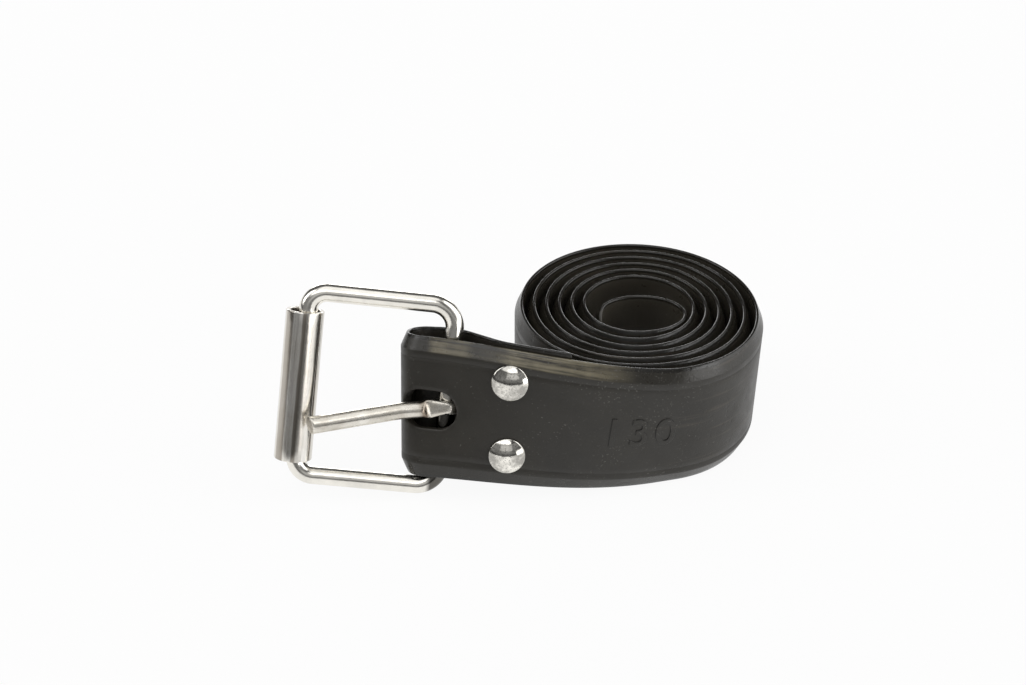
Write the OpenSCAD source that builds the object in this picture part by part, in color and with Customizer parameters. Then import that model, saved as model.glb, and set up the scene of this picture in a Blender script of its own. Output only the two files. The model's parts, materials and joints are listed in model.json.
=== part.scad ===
// Rubber weight belt for divers, coiled on its edge, with a wire roller buckle.
// Millimetres. +Z is up, the front of the coil faces -Y and the buckle points to -X.
// The origin is at the middle of the belt's footprint, on the surface it stands on.

/* [Strap] */
// Width of the rubber strap
strap_width = 50; // [48:0.5:52]
// Thickness of the rubber strap
strap_thickness = 3.2; // [2.8:0.1:3.3]
// Thickness left at both edges, where the bevel of the outer face ends
edge_land = 1; // [0.8:0.1:1.4]
// Height of the bevel along both edges
bevel_height = 5; // [3:0.5:7]
// Chamfer of the inner corners
inner_chamfer = 0.4; // [0.2:0.1:0.6]
// Radius of the rounded corners of the free end
end_corner = 9; // [4:1:14]

/* [Coil] */
// Number of turns in the coil
coil_turns = 6.78; // [6.4:0.02:6.78]
// Radius of the outer turn, at its edge
coil_radius = 45.9; // [45.6:0.1:52]
// Radius lost in each turn
coil_pitch = 4.64; // [4.6:0.02:4.8]
// How far the run to the buckle presses the turns in at the front
front_press = 3.6; // [2.6:0.1:3.8]
// Width of the pressed place, as a share of a turn
press_width = 0.1; // [0.08:0.01:0.12]
// Number of outer turns that the press reaches
press_turns = 4; // [3.5:0.5:5]
// How flat the loose innermost loop lies, as a share of its width
curl_flatness = 0.27; // [0.1:0.01:0.3]
// How far the innermost loop lies towards the front
curl_shift = 5.4; // [4:0.1:6]

/* [Run to the buckle] */
// Length of the run between the coil and the fold
run_length = 91; // [85:1:100]
// Radius of the run's gentle bend, seen from above
run_radius = 200; // [180:10:400]
// Twist of the run, in degrees for each millimetre
run_twist = 0.314; // [0.2:0.002:0.32]
// Height of the strap's lower edge at the fold
end_lift = 10.5; // [6:0.5:11]
// Place on the first turn where the run leaves the coil, as a share of a turn
leave_turn = 0.048; // [0.03:0.002:0.06]

/* [Fold round the buckle's bar] */
// Radius of the fold, at the edge's crest
fold_radius = 7.1; // [7:0.1:8]
// Turn of the folded end back towards the front layer, in degrees
tail_angle = 34; // [30:1:36]
// Radius of that turn
tail_bulge_radius = 26; // [24:1:32]
// Radius where the folded end lies down on the front layer
tail_rest_radius = 14; // [12:1:16]
// Length of the folded end that lies flat behind the rivets
tail_flat = 20; // [16:1:30]
// Gap between the two riveted layers
layer_gap = 0.2; // [0.1:0.05:0.3]
// How far the folded end sits above the front layer
tail_rise = 1.8; // [0:0.1:2.5]
// Slant of the fold across the strap, in degrees
fold_slant = 3; // [0:0.5:4]
// Distance from the fold over which the slant fades
slant_fade = 80; // [60:5:90]
// Width of the slot for the tongue, across the strap
slot_width = 13.5; // [12.5:0.5:14]
// How far the slot's middle sits below the strap's middle line
slot_drop = 0.3; // [0:0.1:0.6]
// Distance from the start of the fold to the slot's end on the run side
slot_reach = 13.8; // [13.6:0.2:16]
// Distance that the slot reaches into the fold
slot_into_fold = 5.6; // [5:0.1:6.2]

/* [Tongue holes] */
// Number of holes for the tongue
hole_count = 6; // [3:1:6]
// Diameter of a hole
hole_diameter = 6.5; // [6:0.5:8]
// Distance between neighbouring holes
hole_pitch = 40; // [39.5:0.5:41]
// Distance from the free end to the first hole
hole_start = 75; // [74:1:78]

/* [Rivets] */
// Distance from the start of the fold to the rivets
rivet_distance = 31.2; // [30:0.2:36]
// Distance between the two rivets, across the strap
rivet_spacing = 26.8; // [22:0.2:27]
// How far the pair of rivets sits above the strap's middle line
rivet_rise = 0.3; // [0:0.1:0.8]
// How far each rivet is off the common distance, the upper one towards the fold
rivet_stagger = 1.1; // [0:0.1:1.4]
// Diameter of the domed head
rivet_head = 12.9; // [11:0.1:13]
// Height of the domed head
rivet_dome = 2.6; // [2:0.1:3]
// Thickness of the head's rim
rivet_rim = 0.6; // [0.4:0.1:0.8]
// Diameter of the rivet's shank
rivet_shank = 4.6; // [4:0.1:5]
// Clearance between the shank and the rubber or the burr
shank_clearance = 0.1; // [0.05:0.01:0.15]
// Diameter of the burr on the back
burr_diameter = 12; // [10:0.5:13]
// Thickness of the burr
burr_thickness = 1; // [0.8:0.1:1.4]
// How far the shank's spread end stands out of the burr
shank_end = 0.9; // [0.6:0.1:1.2]
// Gap under the head and the burr
seat_gap = 0.25; // [0.2:0.05:0.4]

/* [Buckle frame] */
// Diameter of the frame's wire
wire_diameter = 6.5; // [6:0.1:6.6]
// Distance between the rear and the front bar
frame_length = 51.2; // [50:0.2:56]
// Distance between the two side bars
frame_height = 65.9; // [65:0.1:72]
// Bend radius of the two corners at the rear bar
rear_bend = 8.5; // [7:0.5:10]
// Bend radius of the two corners at the front bar
front_bend = 6.5; // [6:0.5:8]
// Distance from the start of the fold to the rear bar
bar_distance = 8.15; // [7.8:0.05:8.6]
// How far the buckle's middle sits above the strap's middle line
bar_rise = 3.26; // [2.5:0.02:3.6]
// Gap between the rear bar and the strap
bar_gap = 0.65; // [0.4:0.05:0.8]
// Slant of the rear bar in the strap's plane, in degrees
bar_slant = 1.9; // [0:0.1:3]
// Angle between the frame and the strap's end
frame_swing = 14.2; // [8:0.2:18]

/* [Roller] */
// Outer diameter of the roller
roller_diameter = 13.3; // [13:0.1:14]
// Wall of the roller
roller_wall = 1.5; // [1.2:0.1:1.6]
// Length of the roller
roller_length = 53.6; // [48:0.2:54]
// How far the roller has slid down its bar
roller_drop = 0.8; // [0:0.1:1]
// How far the roller hangs outwards on its bar
roller_hang = 1; // [0.5:0.1:1.1]
// How far the tongue presses the roller back
roller_push = 1.15; // [0.6:0.05:1.2]
// Width of the seam along the roller
seam_width = 0.7; // [0.5:0.1:1.2]
// Direction of the seam round the roller, in degrees from the strap's side towards the front
seam_angle = 30; // [10:5:80]

/* [Tongue] */
// Diameter of the tongue's shaft where it leaves the flattened part
tongue_wire = 5.9; // [4.5:0.1:6]
// Diameter of the shaft at its tip
tongue_tip = 6.2; // [5.9:0.1:6.4]
// Thickness of the flattened eye round the rear bar
eye_thickness = 2.4; // [2:0.1:2.6]
// Width of the flattened eye
eye_width = 5.4; // [4.8:0.2:5.6]
// Distance from the rear bar to the shoulder where the flattened part begins
shoulder = 7.5; // [7:0.1:9]
// Clearance between the eye and the rear bar
eye_clearance = 0.1; // [0.05:0.01:0.1]
// Distance of the tongue below the buckle's middle
tongue_drop = 2.8; // [2:0.1:4]
// Slant of the tongue, in degrees
tongue_slant = 14; // [10:1:15]
// Reach of the tongue from the rear bar to its tip
tongue_length = 48; // [47:0.5:51]
// Chamfer round the tongue's tip
tip_chamfer = 0.8; // [0.4:0.1:1.5]
// Gap between the tongue and the roller
tongue_gap = 0.3; // [0.2:0.05:0.4]
// Width of the cut between the eye's end and the shaft
eye_cut = 0.6; // [0.4:0.1:1]

/* [Hidden] */

// Steps of the swept strap: rings for a turn, spacing of the run's rings, rings in the fold
coil_steps = 36;
rest_steps = 12;
tail_steps = 8;
run_step = 2.5;
fold_steps = 14;
bend_steps = 5;
round_fn = 64;
bend_fn = 48;

// Small rules for shapes
function smooth(x) = let (c = min(max(x, 0), 1)) c * c * (3 - 2 * c);
function unit(v) = v / norm(v);

// The coil, seen from above: n counts turns from the front of the outer one
curl_from = 5.75;
curl_blend = 0.5;
curl_side = 1.1;
function press(n) = front_press * max(0, 1 - n / press_turns) * exp(-pow((n - round(n)) / press_width, 2));
function coil_r(n) = coil_radius - coil_pitch * n - press(n);
function curl(n) = smooth((n - curl_from) / curl_blend);
function coil_point(n) =
    let (az = 360 * n - 90, r = coil_r(n), flat = 1 - curl_flatness * curl(n))
    [curl_side * curl(n) + r * cos(az), -curl_shift * curl(n) + r * flat * sin(az)];
coil_dn = 0.002;
function coil_heading(n) =
    let (d = coil_point(n + coil_dn) - coil_point(n - coil_dn))
    atan2(d[1], d[0]);

// The run: an arc that leaves the coil, rises and leans back as it nears the fold.
// q is the distance from the start of the fold.
leave_point = coil_point(leave_turn);
leave_heading = coil_heading(leave_turn);
run_centre = leave_point + run_radius * [-sin(leave_heading), cos(leave_heading)];
lean_ease = 6;
function left_of_coil(q) = run_length - q;
function run_heading(q) = leave_heading - left_of_coil(q) / run_radius * 180 / PI;
function lean(q) = let (e = max(0, left_of_coil(q))) run_twist * e * e / (e + lean_ease);
function lift(q) = end_lift * smooth(left_of_coil(q) / run_length);
function run_point(q) =
    let (h = run_heading(q))
    [run_centre[0] + run_radius * sin(h), run_centre[1] - run_radius * cos(h),
     lift(q) + strap_width / 2 * cos(lean(q))];
function run_t(q) = unit(run_point(q + 0.5) - run_point(q - 0.5));
function run_v(q) =
    let (h = run_heading(q), a = lean(q), t = run_t(q),
         v = [-sin(h) * sin(a), cos(h) * sin(a), cos(a)])
    unit(v - (v * t) * t);
function run_n(q) = cross(run_t(q), run_v(q));
// Upward direction of the slanted strap
function slant_v(q) = run_v(q) - tan(fold_slant) * (1 - smooth(q / slant_fade)) * run_t(q);

// A ring is [middle of the crest line, outward direction, upward direction, half height]
half = strap_width / 2;
function run_ring(q) = [run_point(q), run_n(q), slant_v(q), half];
function coil_ring(n) =
    let (p = coil_point(n), h = coil_heading(n), e = end_distance(n))
    [[p[0], p[1], half], [sin(h), -cos(h), 0], [0, 0, 1], half - corner_cut(e)];

// The free end: its corners are rounded
function turn_length(n) = 2 * PI * coil_r(n);
function end_distance(n) = (coil_turns - n) * turn_length(coil_turns);
function corner_cut(e) = e >= end_corner ? 0 : end_corner - sqrt(pow(end_corner, 2) - pow(end_corner - e, 2));

// The fold and the folded end, as a flat chain in the strap's own plane:
// [distance along the run, distance behind the front layer, turn so far]
layers_apart = 2 * edge_land + layer_gap;
bulge_run = tail_bulge_radius * sin(tail_angle);
bulge_drop = tail_bulge_radius * (1 - cos(tail_angle));
rest_run = tail_rest_radius * sin(tail_angle);
rest_drop = tail_rest_radius * (1 - cos(tail_angle));
slope_drop = 2 * fold_radius - bulge_drop - rest_drop - layers_apart;
slope_run = slope_drop / tan(tail_angle);
rest_start = bulge_run + slope_run;
tail_contact = rest_start + rest_run;
tail_end = tail_contact + tail_flat;
function fold_pose(a) = [-fold_radius * sin(a), fold_radius * (1 - cos(a)), a];
function bulge_pose(a) =
    [tail_bulge_radius * sin(a), 2 * fold_radius - tail_bulge_radius * (1 - cos(a)), 180 + a];
function rest_pose(a) =
    [tail_contact - tail_rest_radius * sin(a), layers_apart + tail_rest_radius * (1 - cos(a)), 180 + a];
function tail_pose(q) = [q, layers_apart, 180];
tail_poses = [
    for (i = [tail_steps : -1 : 1]) tail_pose(tail_contact + tail_flat * i / tail_steps),
    for (i = [0 : bend_steps]) rest_pose(tail_angle * i / bend_steps),
    for (i = [bend_steps : -1 : 1]) bulge_pose(tail_angle * i / bend_steps),
    for (i = [fold_steps : -1 : 1]) fold_pose(180 * i / fold_steps)
];
function pose_ring(p) =
    let (q = max(p[0], 0), t = run_t(q), n = run_n(q), v = slant_v(q),
         rise = tail_rise * smooth(p[2] / 180))
    [run_point(q) + min(p[0], 0) * t - p[1] * n + rise * v,
     cos(p[2]) * n - sin(p[2]) * t, v, half];

// The front layer has its rings opposite the folded end's, so that the two faces stay parallel
free_steps = ceil((run_length - tail_end) / run_step);
run_places = [
    for (i = [0 : rest_steps]) tail_contact * i / rest_steps,
    for (i = [1 : tail_steps]) tail_contact + tail_flat * i / tail_steps,
    for (i = [1 : free_steps]) tail_end + (run_length - tail_end) * i / free_steps
];

coil_start = ceil(leave_turn * coil_steps + 0.5) / coil_steps;
end_turn = end_corner / turn_length(coil_turns);
end_steps = 6;
rings = [
    for (p = tail_poses) pose_ring(p),
    for (q = run_places) run_ring(q),
    for (n = [coil_start : 1 / coil_steps : coil_turns - 1.5 * end_turn]) coil_ring(n),
    for (i = [end_steps : -1 : 0]) coil_ring(coil_turns - end_turn * pow(i / end_steps, 2))
];
tail_count = len(tail_poses);

// Section of the strap, as [distance out from the crest line, height above the middle]
function section(h) = [
    [-edge_land, -h + inner_chamfer],
    [-edge_land + inner_chamfer, -h],
    [0, -h],
    [strap_thickness - edge_land, -h + bevel_height],
    [strap_thickness - edge_land, 0],
    [strap_thickness - edge_land, h - bevel_height],
    [0, h],
    [-edge_land + inner_chamfer, h],
    [-edge_land, h - inner_chamfer],
    [-edge_land, 0]
];
side_count = len(section(half));
// Each end is closed by two faces, a lower and an upper one, given as places in the section
cap_sides = [[0, 1, 2, 3, 4, 9], [4, 5, 6, 7, 8, 9]];

strap_points = [for (r = rings) for (s = section(r[3])) r[0] + s[0] * r[1] + s[1] * r[2]];

// Each four-sided patch is split the same way on both layers, so the folded end is split the other way
module sweep(points) {
    n = len(points) / side_count;
    sides = [
        for (i = [0 : n - 2]) for (j = [0 : side_count - 1])
            let (k = (j + 1) % side_count, a = i * side_count, b = a + side_count)
            each i < tail_count
                ? [[a + j, a + k, b + j], [a + k, b + k, b + j]]
                : [[a + j, a + k, b + k], [a + j, b + k, b + j]]
    ];
    first = [for (c = cap_sides) [for (j = [len(c) - 1 : -1 : 0]) c[j]]];
    last = [for (c = cap_sides) [for (j = c) (n - 1) * side_count + j]];
    polyhedron(points, concat(first, sides, last), convexity = 20);
}

// Places children with X along the run, Y up the strap and Z out of its face
module on_frame(p, x, y, z) {
    multmatrix([
        [x[0], y[0], z[0], p[0]],
        [x[1], y[1], z[1], p[1]],
        [x[2], y[2], z[2], p[2]],
        [0, 0, 0, 1]
    ]) children();
}

module on_run(q) {
    on_frame(run_point(q), run_t(q), run_v(q), run_n(q)) children();
}

// Distances of the layers' faces from the crest line of the front layer
outer_face = strap_thickness - edge_land;
back_face = -layers_apart - outer_face;

// A rivet's place, square to the twisted strap at its own height
rivet_bore = rivet_shank + 2 * shank_clearance;
function rivet_q(side) = rivet_distance - side * rivet_stagger;
function rivet_point(q, side) = run_point(q) + (rivet_rise + side * rivet_spacing / 2) * run_v(q);
function rivet_t(side) = unit(rivet_point(rivet_q(side) + 1, side) - rivet_point(rivet_q(side) - 1, side));
function rivet_n(side) = unit(cross(rivet_t(side), run_v(rivet_q(side))));
module on_rivet(side) {
    t = rivet_t(side);
    n = rivet_n(side);
    on_frame(rivet_point(rivet_q(side), side), t, cross(n, t), n) children();
}

// The bore of a rivet, and the seat that its burr presses into the folded end
burr_front = back_face - seat_gap;
burr_back = burr_front - burr_thickness;
module rivet_cutter() {
    translate([0, 0, back_face - 1]) cylinder(d = rivet_bore, h = outer_face - back_face + 2, $fn = round_fn);
    translate([0, 0, burr_back - strap_thickness])
        cylinder(d = burr_diameter + 2 * seat_gap, h = strap_thickness + burr_thickness + seat_gap / 2,
                 $fn = round_fn);
}

module slot_cutter() {
    length = slot_reach + slot_into_fold;
    run = length - slot_width;
    depth = fold_radius - edge_land;
    on_run(0) translate([slot_width / 2 - slot_into_fold, -slot_drop, -depth]) {
        cylinder(d = slot_width, h = depth + 2 * outer_face, $fn = round_fn);
        translate([run, 0, 0]) cylinder(d = slot_width, h = depth + 2 * outer_face, $fn = round_fn);
        translate([0, -slot_width / 2, 0]) cube([run, slot_width, depth + 2 * outer_face]);
    }
}

// Place of a hole on the coil, from its distance to the free end
function hole_turn(d, n = coil_turns, left = 0, dn = 0.01) =
    left >= d ? n : hole_turn(d, n - dn, left + norm(coil_point(n) - coil_point(n - dn)), dn);

module tongue_holes() {
    reach = coil_pitch;
    for (i = [0 : hole_count - 1]) {
        n = hole_turn(hole_start + i * hole_pitch);
        h = coil_heading(n);
        p = coil_point(n);
        translate([p[0], p[1], half]) rotate([0, 0, h]) rotate([90, 0, 0])
            translate([0, 0, (outer_face - edge_land) / 2 - reach / 2])
            cylinder(d = hole_diameter, h = reach, $fn = round_fn);
    }
}

module strap() {
    color([0.16, 0.16, 0.15]) placed() difference() {
        sweep(strap_points);
        slot_cutter();
        tongue_holes();
        for (side = [-1, 1]) on_rivet(side) rivet_cutter();
    }
}

// The buckle's own axes: X from the rear bar to the front bar, Y down the rear bar, Z to the front
bar_depth = edge_land + bar_gap + wire_diameter / 2;
bar_t = run_t(bar_distance);
bar_v = run_v(bar_distance);
bar_n = run_n(bar_distance);
buckle_origin = run_point(bar_distance) + bar_rise * bar_v - bar_depth * bar_n;
buckle_x = cos(frame_swing) * (sin(bar_slant) * bar_v - cos(bar_slant) * bar_t) + sin(frame_swing) * bar_n;
buckle_y = -sin(bar_slant) * bar_t - cos(bar_slant) * bar_v;
buckle_z = cross(buckle_x, buckle_y);
module on_buckle() {
    on_frame(buckle_origin, buckle_x, buckle_y, buckle_z) children();
}

// Straight wire between two points
module bar(from, to) {
    d = to - from;
    translate(from) rotate([0, acos(d[2] / norm(d)), atan2(d[1], d[0])])
        cylinder(d = wire_diameter, h = norm(d), $fn = round_fn);
}

// A quarter bend of the wire, from direction a to a + 90, round a centre in the frame's plane
module bend(centre, radius, a) {
    translate([centre[0], centre[1], 0]) rotate([0, 0, a])
        rotate_extrude(angle = 90, $fn = bend_fn)
        translate([radius, 0]) circle(d = wire_diameter, $fn = round_fn);
}

module buckle_frame() {
    side = frame_height / 2;
    color([0.78, 0.77, 0.74]) placed() on_buckle() {
        bar([0, -side + rear_bend, 0], [0, side - rear_bend, 0]);
        bar([frame_length, -side + front_bend, 0], [frame_length, side - front_bend, 0]);
        for (s = [-1, 1]) bar([rear_bend, s * side, 0], [frame_length - front_bend, s * side, 0]);
        bend([rear_bend, -side + rear_bend], rear_bend, 180);
        bend([rear_bend, side - rear_bend], rear_bend, 90);
        bend([frame_length - front_bend, -side + front_bend], front_bend, -90);
        bend([frame_length - front_bend, side - front_bend], front_bend, 0);
    }
}

// The roller is a rolled tube with an open seam, loose on the front bar
roller_x = frame_length + roller_hang;
roller_bore = roller_diameter - 2 * roller_wall;
module roller() {
    color([0.66, 0.64, 0.6]) placed() on_buckle()
        translate([roller_x, roller_drop, -roller_push]) rotate([90, 0, 0]) difference() {
            cylinder(d = roller_diameter, h = roller_length, center = true, $fn = round_fn);
            cylinder(d = roller_bore, h = roller_length + 1, center = true, $fn = round_fn);
            rotate([0, 0, 180 - seam_angle]) translate([0, -seam_width / 2, -roller_length / 2 - 1])
                cube([roller_diameter, seam_width, roller_length + 2]);
        }
}

// The tongue: a round wire with its flattened end curled round the rear bar
eye_inner = wire_diameter / 2 + eye_clearance;
eye_outer = eye_inner + eye_thickness;
shaft_z = (eye_inner + eye_outer) / 2;
tip_touch = roller_diameter / 2 + tongue_tip / 2 + tongue_gap;
tip_z = sqrt(pow(tip_touch, 2) - pow(max(0, roller_x - tongue_length), 2)) - roller_push;
shaft_run = tongue_length - shoulder;
shaft_slope = atan((tip_z - shaft_z) / shaft_run);
shaft_length = shaft_run / cos(shaft_slope) / cos(tongue_slant);
// How far the round shaft runs into the flattened part
shaft_root = 1;
round_length = shaft_length + shaft_root - tip_chamfer;
tip_diameter = tongue_tip - 2 * tip_chamfer;
module tongue() {
    color([0.8, 0.79, 0.76]) placed() on_buckle() translate([0, tongue_drop, 0]) {
        difference() {
            union() {
                rotate([90, 0, 0]) cylinder(r = eye_outer, h = eye_width, center = true, $fn = round_fn);
                translate([0, -eye_width / 2, eye_inner]) cube([shoulder, eye_width, eye_thickness]);
            }
            rotate([90, 0, 0]) cylinder(r = eye_inner, h = eye_width + 2, center = true, $fn = round_fn);
            // The cut between the curled end and the flattened part
            translate([0, -eye_width / 2 - 1, eye_inner - eye_cut])
                cube([eye_outer + 1, eye_width + 2, eye_cut]);
        }
        translate([shoulder - shaft_root, 0, shaft_z])
            rotate([0, 0, tongue_slant]) rotate([0, 90 - shaft_slope, 0]) {
                cylinder(d1 = tongue_wire, d2 = tongue_tip, h = round_length, $fn = round_fn);
                translate([0, 0, round_length])
                    cylinder(d1 = tongue_tip, d2 = tip_diameter, h = tip_chamfer, $fn = round_fn);
            }
    }
}

// A rivet: a domed head on the outer face and a shank whose end is spread over the burr
cap_height = rivet_dome - rivet_rim;
cap_radius = (pow(rivet_head / 2, 2) + pow(cap_height, 2)) / (2 * cap_height);
cap_centre = outer_face + seat_gap + rivet_dome - cap_radius;

module rivet(side) {
    color([0.86, 0.85, 0.82]) placed() on_rivet(side) {
        translate([0, 0, outer_face + seat_gap]) cylinder(d = rivet_head, h = rivet_rim, $fn = round_fn);
        intersection() {
            translate([0, 0, cap_centre]) sphere(r = cap_radius, $fn = round_fn);
            translate([0, 0, outer_face + seat_gap + rivet_rim])
                cylinder(d = rivet_head, h = rivet_dome, $fn = round_fn);
        }
        translate([0, 0, burr_back])
            cylinder(d = rivet_shank, h = outer_face + seat_gap - burr_back, $fn = round_fn);
        translate([0, 0, burr_back - shank_end])
            cylinder(d1 = rivet_shank, d2 = rivet_shank + 2 * shank_end, h = shank_end, $fn = round_fn);
    }
}

module burr(side) {
    color([0.72, 0.7, 0.66]) placed() on_rivet(side) translate([0, 0, burr_back]) difference() {
        cylinder(d = burr_diameter, h = burr_thickness, $fn = round_fn);
        translate([0, 0, -1]) cylinder(d = rivet_bore, h = burr_thickness + 2, $fn = round_fn);
    }
}

// The origin: middle of the footprint, which ends at the strap, the roller or the lower rivet's head
function roller_end(s) = buckle_origin + roller_x * buckle_x
    + (roller_drop + s * roller_length / 2) * buckle_y - roller_push * buckle_z;
roller_reach = roller_diameter / 2 * sqrt(1 - pow(buckle_y[0], 2));
roller_left = min(roller_end(-1)[0], roller_end(1)[0]) - roller_reach;
lower_cap = rivet_point(rivet_q(-1), -1) + cap_centre * rivet_n(-1);
strap_x = [for (p = strap_points) p[0]];
strap_y = [for (p = strap_points) p[1]];
middle_x = (min(min(strap_x), roller_left) + max(strap_x)) / 2;
middle_y = (min(min(strap_y), lower_cap[1] - cap_radius) + max(strap_y)) / 2;
module placed() {
    translate([-middle_x, -middle_y, 0]) children();
}

strap();
buckle_frame();
roller();
tongue();
rivet(1);  // upper_rivet
burr(1);  // upper_burr
rivet(-1);  // lower_rivet
burr(-1);  // lower_burr
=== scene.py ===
import json
import math

import bmesh
import bpy
import numpy as np
from mathutils import Matrix, Vector


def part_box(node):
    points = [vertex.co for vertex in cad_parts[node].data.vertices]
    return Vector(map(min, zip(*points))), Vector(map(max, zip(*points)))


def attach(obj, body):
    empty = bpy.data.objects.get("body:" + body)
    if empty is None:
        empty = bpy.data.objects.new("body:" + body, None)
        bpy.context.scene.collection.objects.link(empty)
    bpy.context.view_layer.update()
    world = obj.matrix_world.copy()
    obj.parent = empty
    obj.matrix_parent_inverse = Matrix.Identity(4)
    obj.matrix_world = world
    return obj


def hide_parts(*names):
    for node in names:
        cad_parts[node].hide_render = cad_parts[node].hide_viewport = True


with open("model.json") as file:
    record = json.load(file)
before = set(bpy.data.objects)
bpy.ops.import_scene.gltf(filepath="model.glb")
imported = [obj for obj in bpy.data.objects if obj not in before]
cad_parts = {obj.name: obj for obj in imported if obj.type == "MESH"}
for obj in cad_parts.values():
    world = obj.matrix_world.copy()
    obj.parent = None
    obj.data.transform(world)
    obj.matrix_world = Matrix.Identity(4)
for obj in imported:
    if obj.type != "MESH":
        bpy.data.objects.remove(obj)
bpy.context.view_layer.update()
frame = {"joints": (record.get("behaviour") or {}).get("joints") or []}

# ---------------------------------------------------------------------------------------------
# The strap. One length of moulded black rubber, 50 mm wide, with a bevel along both edges.
# It is made flat, with its slot and holes cut, and then laid along its path: the riveted end,
# the fold round the buckle's rear bar, the run and the coil of nearly seven turns.
# ---------------------------------------------------------------------------------------------
mm = 0.001
strap_width, strap_thickness = 50.0, 3.2
edge_land, bevel_height = 1.0, 5.0
strap_middle = strap_width / 2
outer_face = strap_thickness - edge_land

coil_turns, coil_radius, coil_pitch = 6.78, 45.9, 4.64
front_press, press_width, press_turns = 3.6, 0.1, 4
curl_from, curl_blend, curl_flatness = 5.75, 0.5, 0.27
curl_shift, curl_side = 5.4, 1.1
run_length, run_radius, run_twist, lean_ease = 91.0, 200.0, 0.314, 6.0
end_lift, leave_turn = 10.5, 0.048
fold_radius, tail_angle, tail_flat, tail_rise = 7.1, 34.0, 20.0, 1.8
tail_bulge_radius, tail_rest_radius = 26.0, 14.0
layers_apart = 2 * edge_land + 0.2
fold_slant, slant_fade = 3.0, 80.0


def turned(angle):
    return math.cos(math.radians(angle)), math.sin(math.radians(angle))


def unit(v):
    return v / np.linalg.norm(v)


def ease(x):
    c = min(max(x, 0.0), 1.0)
    return c * c * (3 - 2 * c)


def coil_point(n):
    press = front_press * max(0.0, 1 - n / press_turns) * math.exp(-((n - round(n)) / press_width) ** 2)
    radius = coil_radius - coil_pitch * n - press
    curl = ease((n - curl_from) / curl_blend)
    c, s = turned(360 * n - 90)
    x = curl_side * curl + radius * c
    return np.array([x, radius * (1 - curl_flatness * curl) * s - curl_shift * curl])


def coil_heading(n):
    d = coil_point(n + 0.002) - coil_point(n - 0.002)
    return math.degrees(math.atan2(d[1], d[0]))


def coil_ring(n):
    p = coil_point(n)
    c, s = turned(coil_heading(n))
    return np.array([p[0], p[1], strap_middle]), np.array([s, -c, 0.0]), np.array([0.0, 0.0, 1.0])


leave_heading = coil_heading(leave_turn)
leave_cos, leave_sin = turned(leave_heading)
run_centre = coil_point(leave_turn) + run_radius * np.array([-leave_sin, leave_cos])


def run_heading(q):
    return leave_heading - math.degrees((run_length - q) / run_radius)


def run_lean(q):
    left = max(0.0, run_length - q)
    return run_twist * left * left / (left + lean_ease)


def run_point(q):
    c, s = turned(run_heading(q))
    height = end_lift * ease((run_length - q) / run_length) + strap_middle * turned(run_lean(q))[0]
    return np.array([run_centre[0] + run_radius * s, run_centre[1] - run_radius * c, height])


def run_axes(q):
    along = unit(run_point(q + 0.5) - run_point(q - 0.5))
    c, s = turned(run_heading(q))
    lean_cos, lean_sin = turned(run_lean(q))
    up = np.array([-s * lean_sin, c * lean_sin, lean_cos])
    up = unit(up - np.dot(up, along) * along)
    return along, up, np.cross(along, up)


def slant(q):
    """How far the strap's rings lean towards the fold, for each millimetre up."""
    return math.tan(math.radians(fold_slant)) * (1 - ease(q / slant_fade))


def run_ring(q):
    along, up, out = run_axes(q)
    return run_point(q), out, up - slant(q) * along


def folded_ring(ahead, behind, turn):
    along, up, out = run_axes(max(ahead, 0.0))
    up = up - slant(max(ahead, 0.0)) * along
    c, s = turned(turn)
    point = run_point(max(ahead, 0.0)) + min(ahead, 0.0) * along - behind * out
    return point + tail_rise * ease(turn / 180) * up, c * out - s * along, up


def strap_rings():
    """The strap's path from its riveted end to the coil's curl, the fold's first ring and the end's reach."""
    bend_cos, bend_sin = turned(tail_angle)
    bulge_drop = tail_bulge_radius * (1 - bend_cos)
    rest_drop = tail_rest_radius * (1 - bend_cos)
    slope = (2 * fold_radius - bulge_drop - rest_drop - layers_apart) * bend_cos / bend_sin
    contact = tail_bulge_radius * bend_sin + slope + tail_rest_radius * bend_sin
    rings = [folded_ring(contact + q, layers_apart, 180) for q in np.arange(tail_flat, 0, -1.0)]
    for a in np.linspace(0, tail_angle, 12):
        c, s = turned(a)
        behind = layers_apart + tail_rest_radius * (1 - c)
        rings.append(folded_ring(contact - tail_rest_radius * s, behind, 180 + a))
    for a in np.linspace(tail_angle, 0, 12):
        c, s = turned(a)
        behind = 2 * fold_radius - tail_bulge_radius * (1 - c)
        rings.append(folded_ring(tail_bulge_radius * s, behind, 180 + a))
    for a in np.arange(177, 0, -3.0):
        c, s = turned(a)
        rings.append(folded_ring(-fold_radius * s, fold_radius * (1 - c), a))
    fold_count = len(rings)
    rings += [run_ring(q) for q in (*np.arange(0, run_length, 1.0), run_length)]
    degree = 1 / 360
    rings += [coil_ring(n) for n in (*np.arange(leave_turn + degree, coil_turns, degree), coil_turns)]
    return rings, fold_count, contact + tail_flat


rings, fold_count, tail_end = strap_rings()
points, outs, ups = (np.array(rows) for rows in zip(*rings))
travelled = np.r_[0, np.cumsum(np.linalg.norm(np.diff(points, axis=0), axis=1))]
strap_length, fold_start = travelled[-1], travelled[fold_count]

# The coil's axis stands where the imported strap's right and back sides put it
reach = (points + outer_face * outs).max(axis=0) * mm
strap_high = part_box("strap")[1]
coil_axis = Vector((strap_high.x - reach[0], strap_high.y - reach[1], 0.0))

path_step = 0.5
path_places = np.arange(0, strap_length + path_step, path_step)


def along_path(values):
    return np.stack([np.interp(path_places, travelled, values[:, k]) for k in range(3)], axis=1)


def mesh_object(name, vertices, faces, edges=()):
    mesh = bpy.data.meshes.new(name)
    mesh.from_pydata([tuple(v) for v in vertices], list(edges), faces)
    piece = bpy.data.objects.new(name, mesh)
    bpy.context.scene.collection.objects.link(piece)
    return piece


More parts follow.
